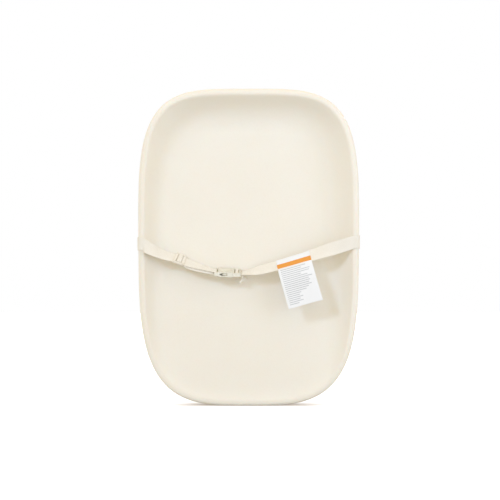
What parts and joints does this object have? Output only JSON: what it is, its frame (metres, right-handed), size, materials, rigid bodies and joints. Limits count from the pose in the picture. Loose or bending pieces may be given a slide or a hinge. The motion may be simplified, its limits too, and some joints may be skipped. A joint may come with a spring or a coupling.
{
  "type": "changing mat",
  "caption": "One-piece soft foam changing mat, a hollow tray with a raised head end, with a webbing waist strap, side-release buckle, slider and hanging tag.",
  "frame": {"origin": "under the middle of the mat at its foot end, on the surface that it stands on", "axes": "+X to the right of someone who looks at the hollow side, +Y out of the flat back, +Z from the foot end to the head end"},
  "size_m": [0.5034, 0.108, 0.72],
  "materials": {
    "foam": "satin",
    "webbing": "matte",
    "acetal": "satin",
    "tag": "matte"
  },
  "bodies": {
    "mat": {"mat_body": "foam", "strap_back": "webbing", "strap_left": "webbing", "strap_loop": "webbing", "buckle_socket": "acetal", "strap_right": "webbing"},
    "adjuster": {"slider": "acetal", "strap_weave": "webbing", "strap_end": "webbing"},
    "plug": {"buckle_plug": "acetal", "strap_tail": "webbing"},
    "rear_prong": {"prong_rear": "acetal"},
    "front_prong": {"prong_front": "acetal"},
    "tag": {"tag": "tag"}
  },
  "joints": [
    {"name": "buckle_release", "type": "slide", "parent": "mat", "child": "plug", "axis": [0.9994, 0, -0.0349], "range_m": [0, 0.03], "deforming": ["strap_right", "prong_rear", "prong_front"]},
    {"name": "prong_rear_squeeze", "type": "hinge", "parent": "plug", "child": "rear_prong", "pos_m": [-0.0376, -0.00163, 0.30826], "axis": [0.0339, -0.2419, 0.9697], "range_deg": [0, 9], "stiffness_Nm_per_rad": 0.05},
    {"name": "prong_front_squeeze", "type": "hinge", "parent": "plug", "child": "front_prong", "pos_m": [-0.03779, -0.02337, 0.30284], "axis": [0.0339, -0.2419, 0.9697], "range_deg": [-9, 0], "stiffness_Nm_per_rad": 0.05},
    {"name": "slider_adjust", "type": "slide", "parent": "mat", "child": "adjuster", "axis": [0.9483, 0, -0.3173], "range_m": [-0.01, 0.01], "deforming": ["strap_left", "strap_loop"]},
    {"name": "tag_lift", "type": "hinge", "parent": "mat", "child": "tag", "pos_m": [0.09956, -0.01902, 0.34411], "axis": [-0.9434, 0.1442, -0.2985], "range_deg": [0, 110]}
  ],
  "couplings": [
    {"joint": "prong_front_squeeze", "follows": "prong_rear_squeeze", "ratio": -1}
  ]
}
